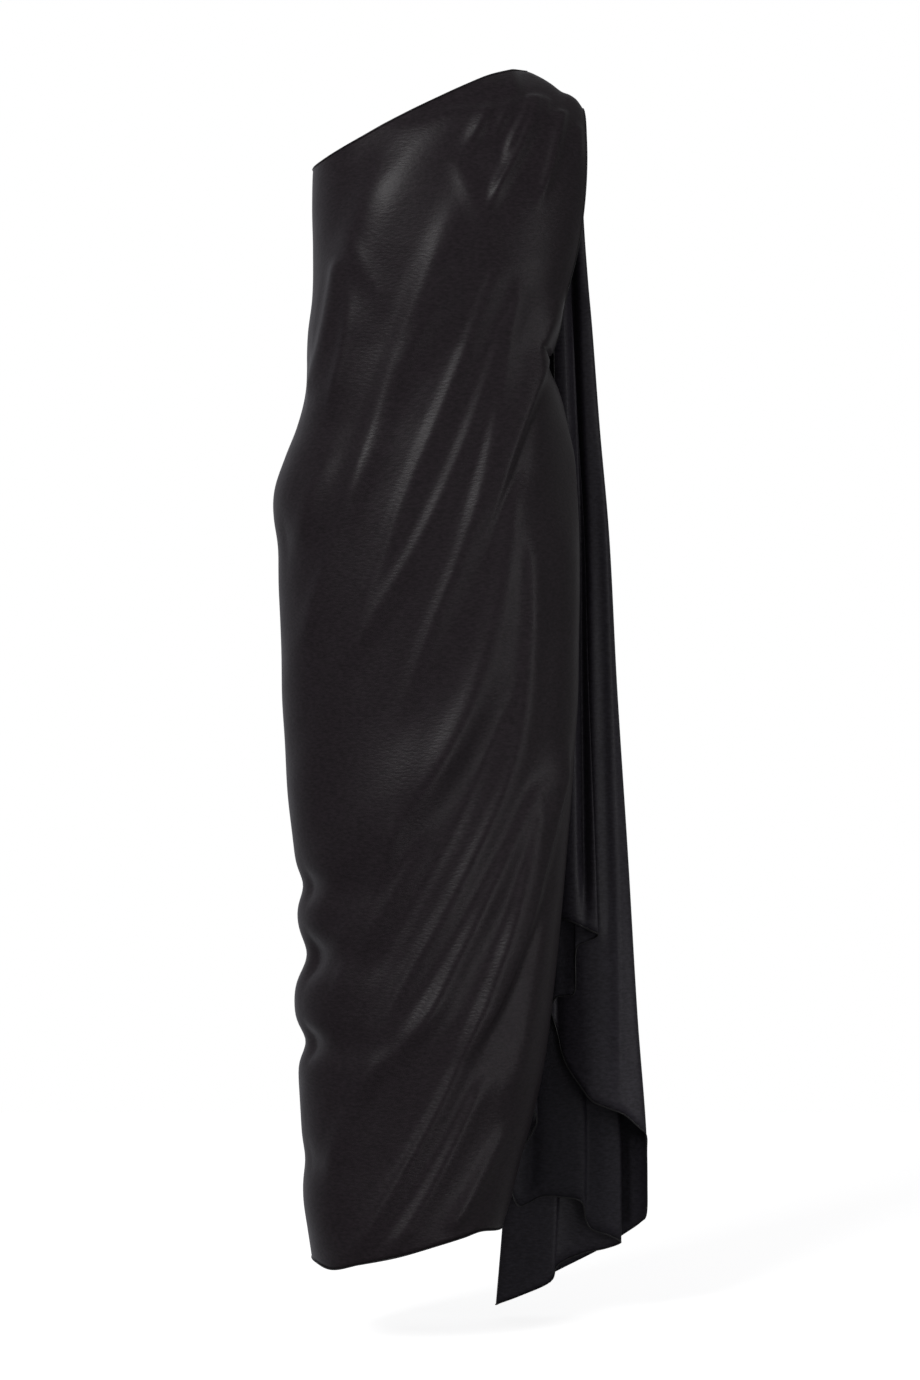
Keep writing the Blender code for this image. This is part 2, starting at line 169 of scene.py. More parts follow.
# The shoulder seam runs from here to the right; below it the cloth rounds over
# the shoulder and stays free of folds
SHOULDER_START = -58
SHOULDER_FULL = -40
SHOULDER_ROUND = 70
SHOULDER_CALM = 14

# Bottom edge of the skirt, with its corners lifted
HEM_COLUMNS = ("x", "z")
HEM_EDGE = (
    (-289, -1366),
    (-269, -1371),
    (-232, -1362),
    (-187, -1352),
    (-140, -1339),
    (-113, -1332),
    (-94, -1327),
    (-69, -1331),
)

# Folds: a ridge's height, its half widths beside the line, how it fades at the top
# and the foot, and its line as x and z from the top
FOLD_COLUMNS = ("name", "height", "wide_left", "wide_right", "fade_top", "fade_foot", "line")
FRONT_FOLDS = (
    ("neck_plane", 8, 26, 42, 20, 60,
     ((-101, -27), (-186, -110), (-231, -196), (-251, -304), (-282, -407))),
    ("chest", 2, 22, 16, 20, 60, ((-165, -44), (-203, -87), (-222, -133), (-236, -184))),
    ("bust_middle", 3.2, 12, 22, 30, 60, ((-115, -207), (-133, -247), (-170, -318), (-188, -362))),
    ("bust_right", 2, 11, 14, 30, 40, ((-126, -87), (-110, -127), (-92, -167), (-68, -211))),
    ("side_c", 3.6, 9, 16, 40, 130,
     ((-47, -224), (-66, -344), (-80, -415), (-116, -551), (-149, -633), (-199, -773))),
    ("drape_edge", 7, 24, 6, 50, 120, ((4, -236), (-24, -336), (-53, -419), (-79, -496), (-101, -567))),
    ("hip", 5.4, 16, 18, 50, 140,
     ((-52, -444), (-58, -522), (-80, -647), (-96, -699), (-140, -796), (-181, -887))),
    ("hip_right", 5.4, 10, 16, 60, 110,
     ((-37, -504), (-36, -647), (-52, -779), (-123, -939), (-184, -1047), (-240, -1156))),
    ("thigh_left", 5, 14, 14, 60, 50,
     ((-183, -830), (-197, -887), (-214, -928), (-253, -1001), (-269, -1033))),
    ("knee_a", 6, 11, 14, 40, 90,
     ((-19, -796), (-54, -877), (-93, -960), (-128, -1029), (-164, -1093), (-211, -1152))),
    ("knee_b", 5.4, 8, 13, 40, 40,
     ((-21, -824), (-62, -990), (-92, -1070), (-138, -1175), (-180, -1253), (-247, -1363))),
    ("wrap_edge", 7, 22, 6, 60, 70, ((18, -750), (-5, -838), (-43, -979), (-69, -1049), (-115, -1139))),
    ("shin_a", 5, 9, 13, 50, 30,
     ((-80, -1129), (-112, -1201), (-131, -1239), (-151, -1276), (-204, -1358))),
    ("shoulder_a", 5.6, 7, 9, 12, 50, ((-28, -12), (-34, -44), (-46, -76), (-74, -133), (-88, -170))),
    ("shoulder_b", 3.4, 5, 5, 10, 40, ((-36, -14), (-46, -47), (-59, -78), (-68, -110))),
    ("shoulder_c", 4, 7, 7, 12, 40, ((-56, -19), (-68, -51), (-83, -82))),
    ("shoulder_d", 4.6, 9, 9, 20, 40, ((-80, -24), (-96, -64), (-115, -99))),
    ("shoulder_e", 5.5, 7, 7, 10, 50, ((1, -30), (-4, -59), (-20, -127), (-30, -162))),
    ("shoulder_f", 2.2, 4, 4, 8, 30, ((-16, -16), (-19, -39), (-23, -64))),
    ("shoulder_g", 2.2, 5, 6, 12, 40, ((20, -44), (21, -76), (18, -116))),
    ("left_edge", 4, 8, 12, 20, 30, ((-254, -202), (-261, -247), (-286, -344), (-298, -375))),
    ("hip_left", 2.5, 12, 14, 40, 60, ((-256, -419), (-279, -464), (-296, -510), (-308, -556))),
    ("bust_left", 6.5, 16, 20, 190, 100,
     ((-101, -96), (-142, -202), (-183, -310), (-223, -430), (-268, -533))),
    ("side_a", 3.2, 9, 16, 40, 90,
     ((-71, -207), (-96, -279), (-130, -364), (-186, -501), (-219, -599), (-260, -693))),
    ("side_b", 3.2, 9, 14, 40, 90,
     ((-56, -253), (-80, -333), (-110, -419), (-170, -547), (-219, -627), (-271, -716))),
    ("left_vee", 1.8, 12, 10, 60, 60, ((-256, -158), (-240, -190), (-203, -261), (-195, -293))),
    ("left_rib", 3.6, 8, 10, 60, 60, ((-240, -230), (-240, -270), (-256, -356), (-271, -402))),
    ("thigh", 6, 12, 22, 90, 60,
     ((-134, -847), (-183, -924), (-222, -988), (-240, -1015), (-263, -1077))),
    ("shin_b", 4.5, 9, 10, 40, 20, ((-62, -1196), (-77, -1230), (-111, -1296), (-131, -1328))),
    ("knee_broad", 6, 15, 17, 70, 60,
     ((-16, -921), (-23, -973), (-35, -1041), (-58, -1156), (-71, -1196))),
    ("shin_left", 3.5, 12, 12, 50, 30, ((-195, -1104), (-218, -1141), (-260, -1230), (-268, -1276))),
    ("belly_left", 3.5, 12, 14, 60, 60, ((-218, -419), (-240, -487), (-286, -615), (-300, -670))),
    ("thigh_hollow", -5, 28, 12, 90, 90,
     ((-51, -676), (-94, -790), (-126, -864), (-165, -933), (-231, -1059))),
    ("thigh_wide", 10.5, 50, 26, 180, 120,
     ((-80, -647), (-123, -756), (-157, -805), (-188, -853), (-254, -944))),
    ("shin_wide", 5, 26, 18, 90, 60, ((-106, -1013), (-140, -1059), (-218, -1144), (-248, -1184))),
)
BACK_FOLDS = (
    ("yoke", 6, 12, 12, 16, 60, ((-20, -14), (-60, -90), (-120, -190))),
    ("blade", 6, 11, 11, 20, 60, ((-60, -18), (-120, -90), (-200, -170))),
    ("waist_a", 7, 14, 14, 60, 100, ((-30, -290), (-90, -420), (-190, -560))),
    ("waist_b", 7, 14, 14, 60, 100, ((-70, -230), (-140, -340), (-240, -470))),
    ("seat", 7, 18, 18, 70, 120, ((-40, -520), (-80, -680), (-170, -860))),
    ("back_thigh", 7, 18, 18, 80, 120, ((-30, -760), (-90, -930), (-200, -1120))),
    ("back_knee", 7, 18, 18, 80, 120, ((-60, -960), (-120, -1120), (-210, -1300))),
)
# Share of a panel's width over which folds die out at a side seam
SEAM_FADE = 0.035
# Step in height over which the lean of a fold line is measured
LEAN_STEP = 4.0

# Fine unevenness of hung satin, drawn out along the diagonal of the folds: each wave's
# height, its period across, and how its line sways along the diagonal
WRINKLE_COLUMNS = ("height", "period", "sway", "sway_period", "sway_start")
WRINKLES = (
    (0.20, 9.5, 1.7, 140.0, 0.0),
    (0.10, 5.9, 2.3, 95.0, 1.0),
)
WRINKLE_LEAN_ACROSS = 0.45
WRINKLE_LEAN_ALONG = 0.3
# One slower wave, with its periods across and along the diagonal
SLOW_WAVE_HEIGHT = 0.50
SLOW_WAVE_PERIODS = (17.0, 90.0)
SLOW_WAVE_START = 0.6
# The unevenness comes and goes in patches
PATCH_PERIODS = (80.0, 170.0)
PATCH_LEAST = 0.6
PATCH_SWING = 0.4

# Side drape: its right edge, and how far behind the side seams its front layer hangs
DRAPE_COLUMNS = ("z", "right", "rear")
DRAPE_LINE = (
    (20, 12, 4),
    (0, 17, 14),
    (-25, 22, 30),
    (-50, 24, 44),
    (-80, 27, 54),
    (-142, 30, 62),
    (-210, 35, 66),
    (-270, 40, 66),
    (-400, 50, 66),
    (-500, 59, 66),
    (-700, 70, 66),
    (-900, 83, 66),
    (-1100, 95, 66),
    (-1250, 106, 66),
    (-1340, 108, 66),
    (-1460, 108, 66),
)
# Hollows that run down all the layers of the drape, with ridges as negative depths
GROOVE_COLUMNS = ("name", "depth", "half_width", "fade_top", "fade_foot", "line")
DRAPE_GROOVES = (
    ("body_hollow", 14, 6, 90, 120,
     ((14, -120), (18, -300), (26, -500), (28, -700), (30, -860), (32, -1010))),
    ("strip_ridge", -3, 7, 260, 40, ((38, -420), (41, -640), (46, -860), (50, -1010))),
    ("outer_ridge", -3.5, 7, 200, 100,
     ((52, -360), (60, -600), (66, -800), (72, -1000), (74, -1200))),
)
# The layers spread from a share of their full width at the shoulder to all of it below
SPREAD_TOP = 0.25
SPREAD_POWER = 0.85
SPREAD_LIMIT = 1.1
DRAPE_LENGTH = 1450
# The drape clears the solids' wall on the back panel, and stands off it further down
WALL = 1.2
DRAPE_CLEAR = 1.4
DRAPE_STANDOFF = 8.0
STANDOFF_HEIGHTS = (60.0, 200.0)
DRAPE_BLEND = 6.0
# Where it is sewn below the shoulder seam
DRAPE_SEAM_DROP = 6
DRAPE_SEAM_HEIGHT = -12.0

# Bottom edge of the drape, followed from its front end: depth is how far
# behind the front layer the cloth lies when fully spread
CASCADE_COLUMNS = ("x", "z", "depth")
CASCADE_EDGE = (
    (3, -975, 6),
    (13, -978, 0),
    (27, -984, -2),
    (39, -990, 1),
    (47, -994, 6),
    (43, -999, 12),
    (32, -1004, 14),
    (21, -1014, 16),
    (20, -1062, 19),
    (9, -1068, 24),
    (-3, -1071, 27),
    (-8, -1086, 35),
    (-5, -1099, 45),
    (0, -1116, 47),
    (4, -1135, 44),
    (11, -1154, 39),
    (25, -1175, 33),
    (40, -1194, 29),
    (59, -1203, 29),
    (79, -1211, 31),
    (97, -1227, 36),
    (106, -1237, 44),
    (107, -1259, 55),
    (108, -1297, 68),
    (108, -1336, 82),
    (101, -1348, 93),
    (83, -1362, 101),
    (52, -1382, 104),
    (3, -1407, 104),
    (-44, -1431, 101),
    (-68, -1446, 94),
    (-72, -1446, 84),
    (-44, -1435, 80),
    (-8, -1418, 78),
    (1, -1399, 83),
    (27, -1386, 86),
    (57, -1379, 84),
    (75, -1372, 78),
    (75, -1367, 70),
    (59, -1359, 67),
    (43, -1354, 68),
    (35, -1343, 67),
    (29, -1319, 59),
    (5, -1313, 57),
    (-18, -1312, 58),
    (-34, -1320, 62),
    (-48, -1323, 60),
    (-56, -1291, 50),
    (-47, -1260, 40),
    (-32, -1235, 30),
    (-25, -1217, 20),
    (-31, -1201, 12),
    (-43, -1190, 10),
)


def column(table, names, name):
    """One named column of a table as numbers."""
    return np.array([row[names.index(name)] for row in table], dtype=float)


def smooth_read(places, values, at):
    """Read a curve through the given values, smooth between them."""
    order = np.argsort(places)
    x = np.asarray(places, dtype=float)[order]
    y = np.asarray(values, dtype=float)[order]
    at = np.clip(np.asarray(at, dtype=float), x[0], x[-1])
    slope = np.gradient(y, x) if len(x) > 2 else np.full(len(x), (y[-1] - y[0]) / (x[-1] - x[0]))
    i = np.clip(np.searchsorted(x, at) - 1, 0, len(x) - 2)
    span = x[i + 1] - x[i]
    t = (at - x[i]) / span
    part_a = (2 * t**3 - 3 * t**2 + 1) * y[i] + (t**3 - 2 * t**2 + t) * span * slope[i]
    part_b = (3 * t**2 - 2 * t**3) * y[i + 1] + (t**3 - t**2) * span * slope[i + 1]
    return part_a + part_b


def ease(value, low, high):
    """Smooth step from 0 at low to 1 at high."""
    t = np.clip((np.asarray(value, dtype=float) - low) / (high - low), 0.0, 1.0)
    return t * t * (3.0 - 2.0 * t)


def table_read(table, names, along, name, at):
    """Read one named column of a table smoothly at places along another."""
    return smooth_read(column(table, names, along), column(table, names, name), at)


def section(name, z):
    """Read one column of the body sections at height z."""
    return table_read(SECTIONS, SECTION_COLUMNS, "z", name, z)


def drawn_in(z):
    """How far the gathers draw in the left side seam at height z."""
    return sum(draw * np.exp(-(((z - at) / half_length) ** 2)) for at, draw, half_length in SEAM_GATHERS)


def left_seam(z):
    """Left side seam at height z, drawn in by its gathers."""
    return section("left", z) + drawn_in(z)


def under_arm(name, z):
    """Read one column of the underarm table at height z."""
    return table_read(UNDERARM, UNDERARM_COLUMNS, "z", name, z)


def ring_depth(x, z, side):
    """Distance from the side-seam plane to the cloth of one side."""
    left = left_seam(z)
    by_arm = (z < UNDERARM[0][0]) & (z > UNDERARM[-1][0])
    right = np.where(by_arm, under_arm("right", z), section("right", z))
    u = np.clip((2.0 * x - left - right) / (right - left), -1.0, 1.0)
    round_part = np.maximum(1.0 - np.abs(u) ** SECTION_POWER, 0.0) ** (1.0 / SECTION_POWER)
    inward = np.clip((right_edge(z, side) - x) / under_arm("turn", z), 0.0, 1.0)
    turn = np.sqrt(1.0 - (1.0 - inward) ** 2)
    held = ease(-z, *ARM_TURN_STARTS) * (1.0 - ease(-z, *ARM_TURN_ENDS))
    return section(side, z) * round_part * (1.0 - held * (1.0 - turn))


def top_edge(x):
    """Height of the neckline and shoulder seam at x."""
    return table_read(TOP_EDGE, TOP_COLUMNS, "x", "z", x)


def hem_edge(x):
    """Height of the skirt's hem at x."""
    return table_read(HEM_EDGE, HEM_COLUMNS, "x", "z", x)


def right_edge(z, side):
    """Right edge of a panel: the armhole above, the side seam below."""
    seam = section("right", z)
    armhole = table_read(ARMHOLE, ARMHOLE_COLUMNS, "z", side, z)
    return np.where(z > ARMHOLE_FOOT, armhole, seam)


def even_columns(count):
    """Places across a section, -1 to 1, spaced evenly along the cloth."""
    angle = np.linspace(0.0, math.pi, ARC_SAMPLES + 1)
    across = -np.cos(angle)
    deep = np.maximum(1.0 - np.abs(across) ** SECTION_POWER, 0.0) ** (1.0 / SECTION_POWER)
    steps = np.hypot(np.diff(across), SECTION_ROUNDNESS * np.diff(deep))
    length = np.concatenate([[0.0], np.cumsum(steps)])
    return np.interp(np.linspace(0.0, length[-1], count + 1), length, across)


def faded_ends(row, z):
    """Share of a fold or groove that is left at height z, as it dies out at its ends."""
    top = row["line"][0][1]
    foot = row["line"][-1][1]
    return ease(top - z, 0.0, row["fade_top"]) * ease(z - foot, 0.0, row["fade_foot"])


def fold_height(x, z, folds):
    """Height of all folds of a panel at points x, z."""
    total = np.zeros_like(x)
    for row in folds:
        fold = dict(zip(FOLD_COLUMNS, row))
        line_x, line_z = zip(*fold["line"])
        centre = smooth_read(line_z, line_x, z)
        above = smooth_read(line_z, line_x, z + LEAN_STEP)
        below = smooth_read(line_z, line_x, z - LEAN_STEP)
        lean = (above - below) / (2.0 * LEAN_STEP)
        off = (x - centre) / np.sqrt(1.0 + lean**2)
        wide = np.where(off < 0.0, fold["wide_left"], fold["wide_right"])
        total += fold["height"] * np.exp(-((off / wide) ** 2)) * faded_ends(fold, z)
    return total


def grid_normals(points):
    """Unit normals of a grid, from its rows and columns."""
    along = np.gradient(points, axis=1)
    up = np.gradient(points, axis=0)
    normal = np.cross(along, up)
    return normal / np.maximum(np.linalg.norm(normal, axis=2, keepdims=True), 1e-9)


def soft_wrinkles(x, z):
    """Height of the fine unevenness of the cloth at points x, z."""
    across = x - WRINKLE_LEAN_ACROSS * z
    along = z + WRINKLE_LEAN_ALONG * x
    waves = np.zeros_like(x)
    for row in WRINKLES:
        wave = dict(zip(WRINKLE_COLUMNS, row))
        sway = wave["sway"] * np.sin(along / wave["sway_period"] + wave["sway_start"])
        waves += wave["height"] * np.sin(across / wave["period"] + sway)
    slow = across / SLOW_WAVE_PERIODS[0] - along / SLOW_WAVE_PERIODS[1] + SLOW_WAVE_START
    waves += SLOW_WAVE_HEIGHT * np.sin(slow)
    patches = np.sin(across / PATCH_PERIODS[0] + along / PATCH_PERIODS[1])
    return waves * (PATCH_LEAST + PATCH_SWING * patches)


def rounded_over(drop):
    """Share of its full depth that cloth has at a drop below the shoulder, along a quarter circle."""
    return np.sqrt(1.0 - (1.0 - np.clip(drop / SHOULDER_ROUND, 0.0, 1.0)) ** 2)


def panel_grid(side, columns, rows, folds):
    """Points of the front or the back panel, from the hem up and from left to right."""
    sign = -1.0 if side == "front" else 1.0
    share = (1.0 + even_columns(columns)) / 2.0
    step = np.linspace(0.0, 1.0, rows + 1)
    rise = step + ROWS_CLOSER_AT_TOP * step * (1.0 - step)
    hem_x = HEM_EDGE[0][0] + (HEM_EDGE[-1][0] - HEM_EDGE[0][0]) * share
    top_x = TOP_EDGE[0][0] + (TOP_EDGE[-1][0] - TOP_EDGE[0][0]) * share
    foot = hem_edge(hem_x)
    crown = top_edge(top_x)
    z = foot[None, :] + (crown - foot)[None, :] * rise[:, None]
    left = left_seam(z[:, 0])[:, None]
    right = right_edge(z[:, -1], side)[:, None]
    x = left + (right - left) * share[None, :]
    drop = crown[None, :] - z
    depth = ring_depth(x, z, side)
    at_shoulder = ease(top_x, SHOULDER_START, SHOULDER_FULL)[None, :]
    depth = depth * (1.0 - at_shoulder * (1.0 - rounded_over(drop)))
    points = np.stack([x, sign * depth, z], axis=2)
    outward = -sign * grid_normals(points)
    by_left_seam = ease(share, 0.0, SEAM_FADE)[None, :]
    by_right_seam = ease(1.0 - share, 0.0, SEAM_FADE)[None, :]
    free = by_left_seam * np.where(z[:, -1:] > ARMHOLE_FOOT, 1.0, by_right_seam)
    free = free * (1.0 - at_shoulder * (1.0 - ease(drop, 0.0, SHOULDER_CALM)))
    dents = GATHER_DENT * drawn_in(z) * np.exp(-(((x - left) / GATHER_REACH) ** 2))
    height = fold_height(x, z, folds) + soft_wrinkles(x, z) - dents
    points = points + outward * (height * free)[:, :, None]
    points[:, :, 1] = sign * np.maximum(sign * points[:, :, 1], 0.0)
    return points


def drape_read(name, z):
    """Read one column of the drape's table at height z."""
    return table_read(DRAPE_LINE, DRAPE_COLUMNS, "z", name, z)


def drape_spread(z):
    """How far the layers of the drape have spread at height z."""
    fallen = np.clip(-z / DRAPE_LENGTH, 0.0, SPREAD_LIMIT)
    return SPREAD_TOP + (1.0 - SPREAD_TOP) * fallen**SPREAD_POWER


def drape_grooves(x, z):
    """How far the hollows and ridges push the drape back at points x, z."""
    total = np.zeros_like(x)
    for row in DRAPE_GROOVES:
        groove = dict(zip(GROOVE_COLUMNS, row))
        line_x, line_z = zip(*groove["line"])
        off = (x - smooth_read(line_z, line_x, z)) / groove["half_width"]
        total += groove["depth"] * np.exp(-(off**2)) * faded_ends(groove, z)
    return total


def drape_front(x, z):
    """Front face of the drape, kept clear behind the back panel."""
    hung = drape_read("rear", z)
    near = np.minimum(x, right_edge(z, "back"))
    drop = np.maximum(top_edge(x) - z, 0.0)
    clear = DRAPE_CLEAR + WALL + DRAPE_STANDOFF * ease(-z, *STANDOFF_HEIGHTS)
    body = ring_depth(near, z, "back") * rounded_over(drop) + clear
    return 0.5 * (hung + body + np.sqrt((hung - body) ** 2 + DRAPE_BLEND**2))


def fine_steps(values, steps):
    """Values read smoothly at extra steps between the named ones."""
    last = len(values) - 1
    return smooth_read(np.arange(last + 1.0), values, np.linspace(0.0, last, last * steps + 1))


def cascade_grid():
    """Points of the side drape, from its bottom edge up to the shoulder seam."""
    edge_x, edge_z, edge_depth = (
        fine_steps(column(CASCADE_EDGE, CASCADE_COLUMNS, name), CASCADE_STEPS)
        for name in CASCADE_COLUMNS)
    across = (drape_read("right", edge_z) - edge_x) / drape_spread(edge_z)
    seam_right = drape_read("right", np.full_like(across, DRAPE_SEAM_HEIGHT))
    top_x = seam_right - drape_spread(DRAPE_SEAM_HEIGHT) * across
    top_z = top_edge(top_x) - DRAPE_SEAM_DROP
    fall = np.linspace(0.0, 1.0, CASCADE_FALL_ROWS, endpoint=False)
    levels = [edge_z + (CASCADE_LEVELS[0] - edge_z) * part for part in fall]
    levels += [np.full_like(edge_z, level) for level in CASCADE_LEVELS]
    levels = np.stack(levels + [top_z])
    at = np.linspace(0.0, len(levels) - 1.0, (len(levels) - 1) * CASCADE_LEVEL_STEPS + 1)
    low = np.minimum(at.astype(int), len(levels) - 2)
    part = (at - low)[:, None]
    z = levels[low] * (1.0 - part) + levels[low + 1] * part
    spread = drape_spread(z)
    x = drape_read("right", z) - spread * across[None, :]
    y = drape_front(x, z) + drape_grooves(x, z) + spread * edge_depth[None, :]
    return np.stack([x, y, z], axis=2)


# Materials

THREAD_SCALE = (170.0, 170.0, 400.0)
CLOUD_SCALE = 26.0
NOISE_LOW = 0.3
NOISE_HIGH = 0.7
DARK_THREAD = 0.72
BRIGHT_THREAD = 1.28
GLOSS_VARIATION = 0.03
WEAVE_DEPTH = 0.0004
SHEEN_ROUGHNESS = 0.4


def node(tree, kind, **inputs):
    """A new shader node with its inputs set; a link is given as an output socket."""
    made = tree.nodes.new(kind)
    for name, value in inputs.items():
        socket = made.inputs[name.replace("_", " ")]
        if isinstance(value, bpy.types.NodeSocket):
            tree.links.new(value, socket)
        else:
            socket.default_value = value
    return made


def colour_ramp(tree, value, low, high):
    """A ramp between two colours, each given as its place on the ramp and its colour."""
    ramp = tree.nodes.new("ShaderNodeValToRGB")
    for element, (position, colour) in zip(ramp.color_ramp.elements, (low, high)):
        element.position = position
        element.color = (*colour, 1.0)
    tree.links.new(value, ramp.inputs["Fac"])
    return ramp


def satin(name, colour, roughness, sheen, grain, specular):
    """Woven satin: long crosswise grain, fine weave and a little unevenness."""
    material = bpy.data.materials.new(name)
    material.use_nodes = True
    tree = material.node_tree
    shader = tree.nodes["Principled BSDF"]
    place = tree.nodes.new("ShaderNodeTexCoord")
    across = node(tree, "ShaderNodeMapping", Vector=place.outputs["Object"], Scale=THREAD_SCALE)
    thread = node(tree, "ShaderNodeTexNoise", Vector=across.outputs["Vector"], Scale=1.0, Detail=2.0)
    cloud = node(
        tree, "ShaderNodeTexNoise", Vector=place.outputs["Object"], Scale=CLOUD_SCALE, Detail=3.0)
    shade = colour_ramp(
        tree, thread.outputs["Fac"],
        (NOISE_LOW, [DARK_THREAD * part for part in colour]),
        (NOISE_HIGH, [BRIGHT_THREAD * part for part in colour]))
    tree.links.new(shade.outputs["Color"], shader.inputs["Base Color"])
    gloss = node(
        tree, "ShaderNodeMapRange", Value=cloud.outputs["Fac"], From_Min=NOISE_LOW, From_Max=NOISE_HIGH,
        To_Min=roughness - GLOSS_VARIATION, To_Max=roughness + GLOSS_VARIATION)
    tree.links.new(gloss.outputs["Result"], shader.inputs["Roughness"])
    bump = node(
        tree, "ShaderNodeBump", Height=thread.outputs["Fac"], Strength=grain, Distance=WEAVE_DEPTH)
    tree.links.new(bump.outputs["Normal"], shader.inputs["Normal"])
    shader.inputs["Specular IOR Level"].default_value = specular
    shader.inputs["Sheen Weight"].default_value = sheen
    shader.inputs["Sheen Roughness"].default_value = SHEEN_ROUGHNESS
    return material


SATIN_FACE = satin(
    "satin_face", colour=(0.0210, 0.0156, 0.0195), roughness=0.41, sheen=0.0, grain=0.7, specular=0.25)
# The drape is the same satin as the dress, but its colour is made lighter: painted light that stands in
# for the light the body keeps off it
SATIN_DRAPE_PAINTED_LIGHT = satin(
    "satin_drape_painted_light", colour=(0.0350, 0.0315, 0.0405), roughness=0.42, sheen=0.0, grain=0.7, specular=0.25)
SATIN_WRONG_SIDE = satin(
    "satin_wrong_side", colour=(0.0250, 0.0230, 0.0300), roughness=0.60, sheen=0.0, grain=0.7,
    specular=0.22)
SATIN_HEM = satin(
    "satin_hem", colour=(0.014, 0.013, 0.014), roughness=0.38, sheen=0.08, grain=0.3, specular=0.45)


# Pieces

def linked(name, data):
    """A new object in the scene, at the origin."""
    made = bpy.data.objects.new(name, data)
    bpy.context.scene.collection.objects.link(made)
    return made


def cloth_piece(name, points, cloth, flip):
    """A sheet of cloth: a grid moved onto the worn form, then given its thickness."""
    rows, columns = points.shape[0] - 1, points.shape[1] - 1
    shape = bmesh.new()
    shape.loops.layers.uv.new("cloth")
    bmesh.ops.create_grid(shape, x_segments=columns, y_segments=rows, size=0.5, calc_uvs=True)
    for vertex in shape.verts:
        column_at = round((vertex.co.x + 0.5) * columns)
        row_at = round((vertex.co.y + 0.5) * rows)
        vertex.co = Vector(points[row_at, column_at] * MM)
    if flip:
        bmesh.ops.reverse_faces(shape, faces=shape.faces[:])
    for face in shape.faces:
        face.smooth = True
    mesh = bpy.data.meshes.new(name)
    shape.to_mesh(mesh)
    shape.free()
    mesh.materials.append(cloth)
    mesh.materials.append(SATIN_WRONG_SIDE)
    piece = linked(name, mesh)
    wall = piece.modifiers.new("thickness", "SOLIDIFY")
    wall.thickness = CLOTH * MM
    wall.offset = -1.0
    wall.material_offset = 1
    wall.material_offset_rim = 0
    return piece


def rolled_hem(name, paths):
    """Narrow rolled hems along free edges, as round cords of folded cloth."""
    curve = bpy.data.curves.new(name, "CURVE")
    curve.dimensions = "3D"
    curve.bevel_depth = HEM_RADIUS * MM
    curve.bevel_resolution = 1
    curve.use_fill_caps = True
    for path in paths:
        line = curve.splines.new("POLY")
        line.points.add(len(path) - 1)
        for point, place in zip(line.points, path):
            point.co = (place[0] * MM, place[1] * MM, place[2] * MM, 1.0)
    curve.materials.append(SATIN_HEM)
    return linked(name, curve)


def panel_edges(points):
    """Free edges of a front or back panel: neckline, armhole and skirt hem."""
    neck_end = int(np.sum(points[-1, :, 0] < SHOULDER_FULL)) + 1
    armhole_start = int(np.sum(points[:, -1, 2] <= ARMHOLE_FOOT))
    return [points[-1, :neck_end], points[armhole_start:, -1], points[0]]


def drape_edge(points):
    """Free edge of the side drape, down one side, along the bottom and up the other."""
    return np.concatenate([points[::-1, 0], points[0], points[:, -1]])


front_points = panel_grid("front", FRONT_COLUMNS, FRONT_ROWS, FRONT_FOLDS)
back_points = panel_grid("back", BACK_COLUMNS, BACK_ROWS, BACK_FOLDS)
cascade_points = cascade_grid()

front = cloth_piece("front_satin", front_points, SATIN_FACE, flip=False)
back = cloth_piece("back_satin", back_points, SATIN_FACE, flip=True)
cascade = cloth_piece("cascade_satin", cascade_points, SATIN_DRAPE_PAINTED_LIGHT, flip=False)

front_hems = rolled_hem("front_hems", panel_edges(front_points))
back_hems = rolled_hem("back_hems", panel_edges(back_points))
cascade_hems = rolled_hem("cascade_hems", [drape_edge(cascade_points)])

for piece in (front, back, cascade, front_hems, back_hems, cascade_hems):
    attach(piece, "root")
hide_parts("front")
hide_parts("back")
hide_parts("cascade")


# Floor, light and camera

# Metres, in the part's frame
FLOOR_Z = -1.463
FLOOR_REACH = 2.4
FLOOR_LOOK = {
    "Base Color": (0.86, 0.86, 0.86, 1.0),
    "Roughness": 0.9,
    "Specular IOR Level": 0.1,
    "Emission Color": (1.0, 1.0, 1.0, 1.0),
    "Emission Strength": 0.80,
}
CAMERA_DISTANCE = 4.5
CAMERA_SENSOR = 36.0
VIEW_CENTRE = (-0.117, 0.0, -0.704)
VIEW_HEIGHT = 1.6146

# The studio's light: how far its bright side is turned, in degrees, and the two ends of its ramp
BRIGHT_SIDE_TURN = -30.0
DIM_SIDE = (0.72, (0.16, 0.16, 0.16))
BRIGHT_SIDE = (0.95, (0.42, 0.42, 0.45))

# Soft lights: where each stands, the point it faces, its size in metres and its power in watts
LIGHT_COLUMNS = ("name", "place", "target", "width", "height", "power")
LIGHTS = (
    ("key", (-2.4, -4.2, 2.2), (-0.12, 0.0, -0.6), 1.5, 1.8, 114.0),
    ("fill", (3.9, -2.3, -0.6), (0.1, 0.1, -0.9), 1.6, 1.8, 17.0),
    ("low_fill", (0.9, -1.5, -1.35), (0.05, 0.1, -1.2), 0.6, 0.6, 2.5),
)


def floor_piece():
    """A pale floor that only the camera sees."""
    shape = bmesh.new()
    bmesh.ops.create_grid(shape, x_segments=1, y_segments=1, size=FLOOR_REACH)
    for vertex in shape.verts:
        vertex.co.z = FLOOR_Z
    mesh = bpy.data.meshes.new("floor")
    shape.to_mesh(mesh)
    shape.free()
    material = bpy.data.materials.new("pale_floor")
    material.use_nodes = True
    shader = material.node_tree.nodes["Principled BSDF"]
    for name, value in FLOOR_LOOK.items():
        shader.inputs[name].default_value = value
    mesh.materials.append(material)
    piece = linked("floor", mesh)
    piece.visible_diffuse = False
    piece.visible_glossy = False


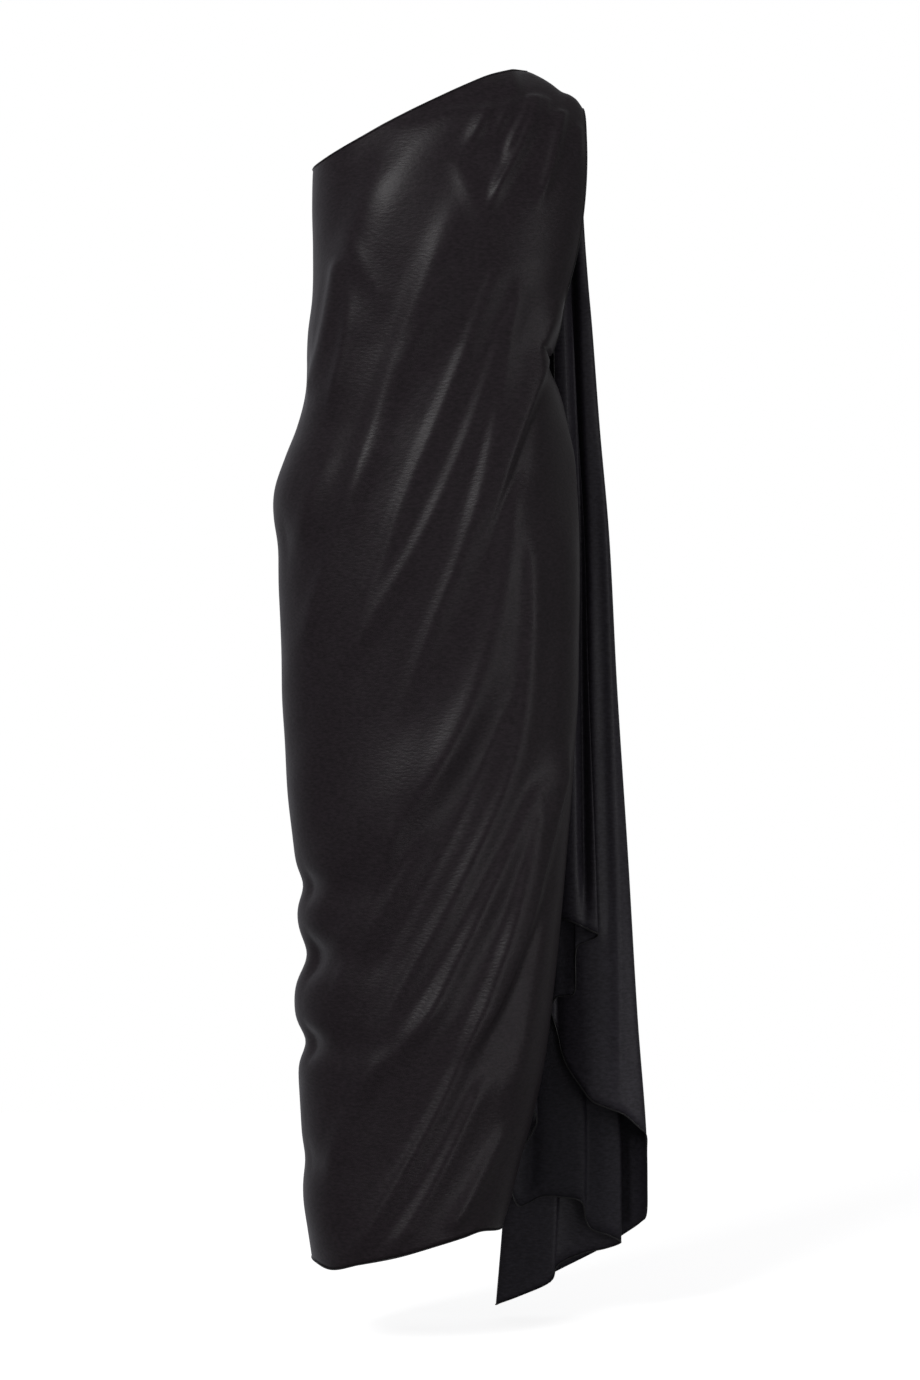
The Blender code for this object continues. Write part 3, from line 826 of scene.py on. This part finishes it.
def studio_world():
    """White studio: dim on one side, bright on the other, plain white where the camera looks."""
    world = bpy.data.worlds.new("studio")
    bpy.context.scene.world = world
    world.use_nodes = True
    tree = world.node_tree
    tree.nodes.clear()
    out = tree.nodes.new("ShaderNodeOutputWorld")
    place = tree.nodes.new("ShaderNodeTexCoord")
    turn = (0.0, 0.0, math.radians(BRIGHT_SIDE_TURN))
    turned = node(tree, "ShaderNodeMapping", Vector=place.outputs["Generated"], Rotation=turn)
    split = node(tree, "ShaderNodeSeparateXYZ", Vector=turned.outputs["Vector"])
    fit = node(tree, "ShaderNodeMapRange", Value=split.outputs["Y"], From_Min=-1.0, From_Max=1.0)
    ramp = colour_ramp(tree, fit.outputs["Result"], DIM_SIDE, BRIGHT_SIDE)
    around = node(tree, "ShaderNodeBackground", Color=ramp.outputs["Color"], Strength=1.0)
    seen = node(tree, "ShaderNodeBackground", Color=(1.0, 1.0, 1.0, 1.0), Strength=1.0)
    path = tree.nodes.new("ShaderNodeLightPath")
    mix = tree.nodes.new("ShaderNodeMixShader")
    tree.links.new(path.outputs["Is Camera Ray"], mix.inputs[0])
    tree.links.new(around.outputs[0], mix.inputs[1])
    tree.links.new(seen.outputs[0], mix.inputs[2])
    tree.links.new(mix.outputs[0], out.inputs["Surface"])


def soft_box(name, place, target, width, height, power):
    """A soft light that faces a point of the dress and isn't seen itself."""
    light = bpy.data.lights.new(name, "AREA")
    light.shape = "RECTANGLE"
    light.size = width
    light.size_y = height
    light.energy = power
    lamp = linked(name, light)
    lamp.location = place
    lamp.visible_camera = False
    lamp.rotation_euler = (Vector(target) - Vector(place)).to_track_quat("-Z", "Y").to_euler()


def studio_camera():
    """A level camera straight in front of the dress, with the photo's field of view."""
    data = bpy.data.cameras.new("camera")
    data.sensor_fit = "VERTICAL"
    data.sensor_height = CAMERA_SENSOR
    data.lens = CAMERA_SENSOR * CAMERA_DISTANCE / VIEW_HEIGHT
    camera = linked("camera", data)
    camera.location = Vector(VIEW_CENTRE) - Vector((0.0, CAMERA_DISTANCE, 0.0))
    camera.rotation_euler = (math.radians(90.0), 0.0, 0.0)
    bpy.context.scene.camera = camera


floor_piece()
studio_world()
for row in LIGHTS:
    soft_box(**dict(zip(LIGHT_COLUMNS, row)))
studio_camera()
bpy.context.scene.view_settings.view_transform = "Standard"
